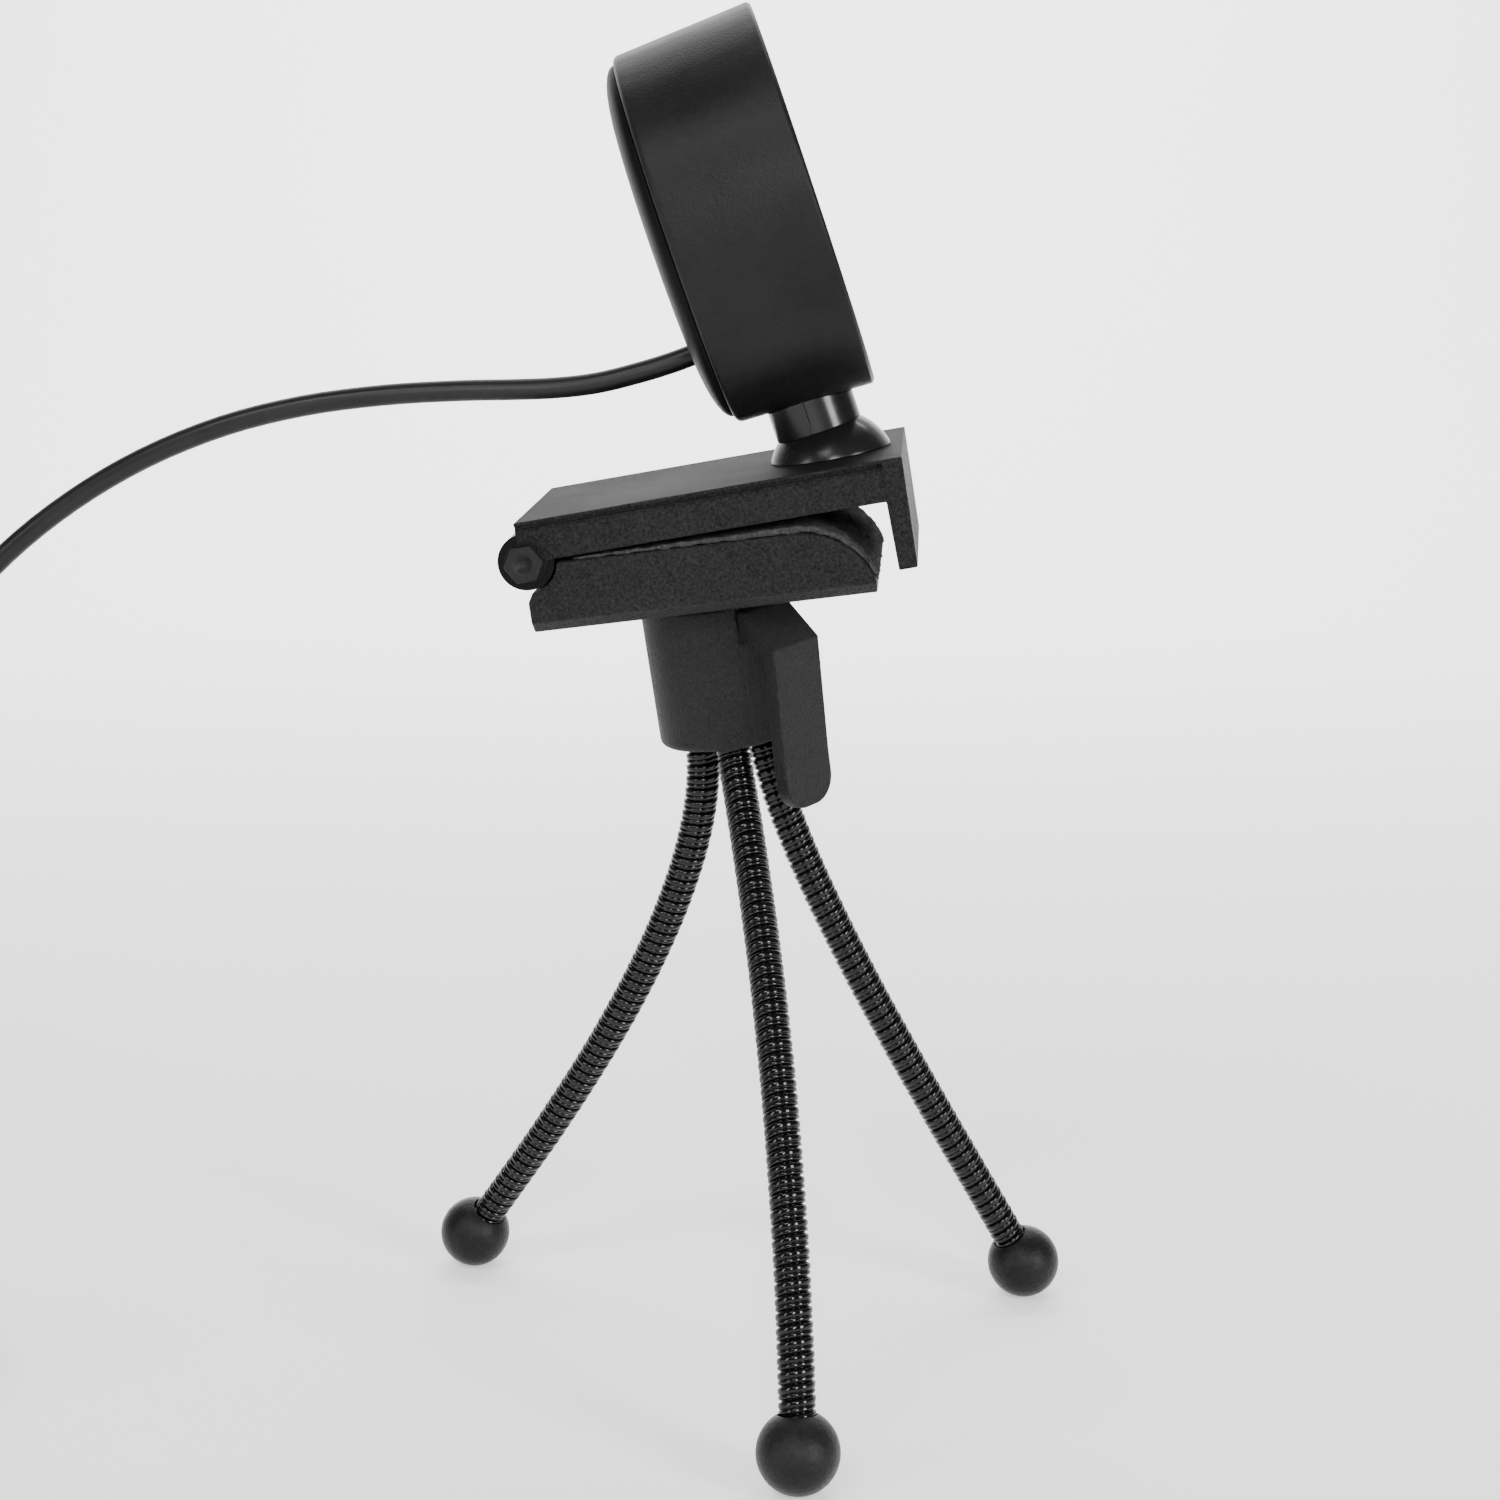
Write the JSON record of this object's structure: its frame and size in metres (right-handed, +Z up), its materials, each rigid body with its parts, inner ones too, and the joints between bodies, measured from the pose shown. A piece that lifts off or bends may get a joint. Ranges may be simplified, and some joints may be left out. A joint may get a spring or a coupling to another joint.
{
  "type": "webcam on tripod",
  "caption": "Round webcam head on a tilting and turning neck, on a screen clip screwed to a mini tripod with flexible gooseneck legs, ball feet and a plug-ended cord.",
  "frame": {"origin": "on the standing surface, in the middle of the box round the three feet, head and clip, without the cord", "axes": "+Z up, +X the way the lens looks, +Y to the lens's left hand side, away from the hinge bolt's head"},
  "size_m": [0.236, 0.1349, 0.2211],
  "materials": {
    "housing": "fine moulded texture, satin black",
    "smooth_black": "smooth semi-gloss black",
    "gooseneck": "glossy black enamel on wound wire",
    "ball_foot": "satin black moulded plastic",
    "blackened_steel": "blackened steel",
    "steel": "bright zinc plated steel",
    "foam_pad": "coarse black foam rubber",
    "face_gloss": "polished black",
    "lens_black": "matt black",
    "lens_glass": "coated glass",
    "sensor": "dark silicon under glass",
    "board": "green solder mask",
    "led": "frosted clear plastic",
    "white_plastic": "white nylon",
    "cord": "smooth black PVC",
    "plug_metal": "nickel plated steel"
  },
  "bodies": {
    "stand": {"hub": "housing", "leg_top_left": "gooseneck", "leg_top_right": "gooseneck", "leg_top_front": "gooseneck", "tripod_screw": "steel", "screw_retainer": "steel", "grip_washer": "foam_pad"},
    "lever": {"lever": "housing"},
    "jaw": {"jaw": "housing", "jaw_pad": "foam_pad", "tripod_nut": "steel"},
    "clip": {"clip_bar": "housing", "hinge_bolt": "blackened_steel", "hinge_nut": "blackened_steel", "hinge_washers": "steel"},
    "swivel": {"swivel_dome": "smooth_black", "tilt_pin": "steel", "swivel_ring": "steel"},
    "head": {"head_neck": "smooth_black", "neck_screw": "steel", "main_housing": "housing", "back_cover": "smooth_black", "face_plate": "face_gloss", "lens_ring": "smooth_black", "lens_barrel": "lens_black", "lens_glass": "lens_glass", "lens_holder": "lens_black", "image_sensor": "sensor", "circuit_board": "board", "board_screws": "steel", "microphones": "steel", "led_window": "led", "board_plug": "white_plastic", "cord_gland": "cord", "cord_lead": "cord", "cord_coil": "cord", "cord_tail": "cord", "usb_body": "cord", "usb_shell": "plug_metal", "usb_tongue": "white_plastic"},
    "leg_left": {"gooseneck_left": "gooseneck", "foot_left": "ball_foot"},
    "leg_right": {"gooseneck_right": "gooseneck", "foot_right": "ball_foot"},
    "leg_front": {"gooseneck_front": "gooseneck", "foot_front": "ball_foot"}
  },
  "joints": [
    {"name": "lever_swing", "type": "hinge", "parent": "stand", "child": "lever", "pos_m": [0.00093, 0.00843, 0.12475], "axis": [-0.6602, -0.7355, -0.1524], "range_deg": [0, 35]},
    {"name": "clip_turn", "type": "hinge", "parent": "stand", "child": "jaw", "pos_m": [-0.00529, 0.01314, 0.12899], "axis": [-0.1316, -0.0864, 0.9875], "continuous": true},
    {"name": "clip_open", "type": "hinge", "parent": "jaw", "child": "clip", "pos_m": [-0.03283, 0.01441, 0.13647], "axis": [-0.0719, -0.9927, -0.0965], "range_deg": [-1, 100]},
    {"name": "head_pan", "type": "hinge", "parent": "clip", "child": "swivel", "pos_m": [0.01472, 0.00986, 0.14776], "axis": [-0.1798, -0.0822, 0.9803], "range_deg": [-170, 170]},
    {"name": "head_tilt", "type": "hinge", "parent": "swivel", "child": "head", "pos_m": [0.01472, 0.00986, 0.14776], "axis": [-0.005, -0.9964, -0.0845], "range_deg": [-21.9, 4.6]},
    {"name": "leg_left_bend", "type": "hinge", "parent": "stand", "child": "leg_left", "pos_m": [-0.01088, 0.02323, 0.07766], "axis": [0.5278, 0.8494, 0], "range_deg": [-20, 30]},
    {"name": "leg_right_bend", "type": "hinge", "parent": "stand", "child": "leg_right", "pos_m": [0.00999, 0.02083, 0.08284], "axis": [0.2706, -0.9627, 0], "range_deg": [-20, 30]},
    {"name": "leg_front_bend", "type": "hinge", "parent": "stand", "child": "leg_front", "pos_m": [0.00031, 0.00256, 0.09104], "axis": [-0.9881, -0.1535, 0], "range_deg": [-20, 30]}
  ]
}
